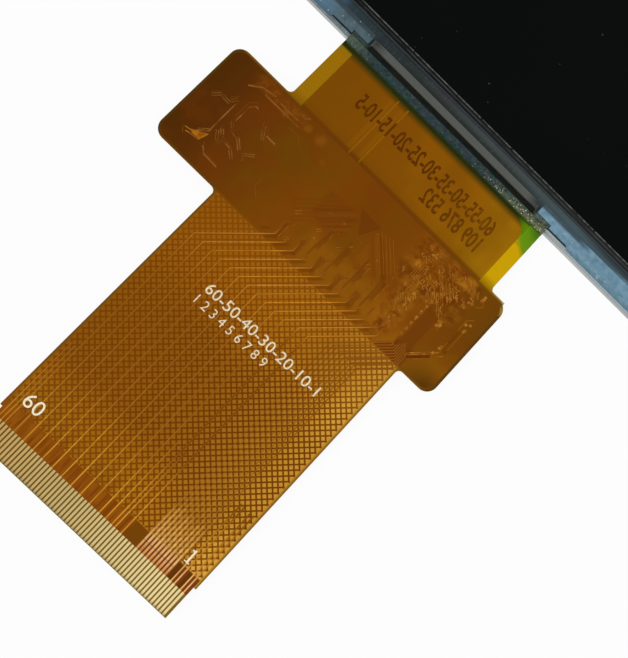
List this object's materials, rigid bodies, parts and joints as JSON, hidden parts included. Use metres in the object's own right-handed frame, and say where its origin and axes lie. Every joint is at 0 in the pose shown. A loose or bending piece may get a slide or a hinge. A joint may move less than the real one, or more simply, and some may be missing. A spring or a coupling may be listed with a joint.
{
  "type": "tft display module",
  "caption": "Thin edge-lit colour display panel in a steel and plastic tray, with a wide amber flexible circuit on its short side that ends in a row of gold contact fingers.",
  "frame": {"origin": "centre of the panel's flat rear face, on the surface that the module lies on", "axes": "+Z is the side that is looked at, out of the glass; +Y runs along the panel's length away from the flexible circuit, whose tail points to -Y; +X is to the right, where contact 1 is, with the tail towards the viewer"},
  "size_m": [0.0706, 0.2072, 0.0019],
  "materials": {
    "back_shell": "folded sheet, satin",
    "backlight_frame": "moulded white plastic",
    "reflector_sheet": "white film",
    "light_guide": "clear acrylic plate",
    "diffuser_sheet": "milky film",
    "lower_prism_sheet": "ribbed clear film",
    "upper_prism_sheet": "ribbed clear film",
    "led_strip": "amber circuit film",
    "backlight_leds": "white housings, pale yellow lens",
    "rim_tape": "black adhesive film",
    "rear_polariser": "grey film",
    "array_glass": "thin glass over blue-grey layers",
    "colour_filter_glass": "thin glass, dark border",
    "front_polariser": "near-black, clear gloss",
    "chip_bond_film": "adhesive film",
    "driver_chip": "polished silicon",
    "ledge_sealant": "blue translucent sealant, lumpy",
    "flex_bond_film": "adhesive film",
    "flex_film": "amber polyimide",
    "ground_copper": "copper under amber film",
    "neck_copper": "fine copper under amber film",
    "signal_leads": "copper under amber film",
    "control_leads": "copper under amber film",
    "wing_leads": "copper under amber film",
    "through_pads": "plated pads under amber film",
    "contact_fingers": "pale gold plating",
    "contact_stiffener": "amber board",
    "neck_sealant": "green-blue sealant",
    "capacitors": "tan ceramic, tinned ends",
    "resistors": "black top, tinned ends",
    "power_chip": "moulded package",
    "insulating_tape": "tan film",
    "led_tail_joints": "solder"
  },
  "bodies": {
    "root": {"back_shell": "back_shell", "backlight_frame": "backlight_frame", "reflector_sheet": "reflector_sheet", "light_guide": "light_guide", "diffuser_sheet": "diffuser_sheet", "lower_prism_sheet": "lower_prism_sheet", "upper_prism_sheet": "upper_prism_sheet", "led_strip": "led_strip", "backlight_leds": "backlight_leds", "rim_tape": "rim_tape", "rear_polariser": "rear_polariser", "array_glass": "array_glass", "colour_filter_glass": "colour_filter_glass", "front_polariser": "front_polariser", "chip_bond_film": "chip_bond_film", "driver_chip": "driver_chip", "ledge_sealant": "ledge_sealant", "flex_bond_film": "flex_bond_film", "flex_film": "flex_film", "ground_copper": "ground_copper", "neck_copper": "neck_copper", "signal_leads": "signal_leads", "control_leads": "control_leads", "wing_leads": "wing_leads", "through_pads": "through_pads", "contact_fingers": "contact_fingers", "contact_stiffener": "contact_stiffener", "neck_sealant": "neck_sealant", "capacitors": "capacitors", "resistors": "resistors", "power_chip": "power_chip", "insulating_tape": "insulating_tape", "led_tail_joints": "led_tail_joints"}
  },
  "joints": []
}
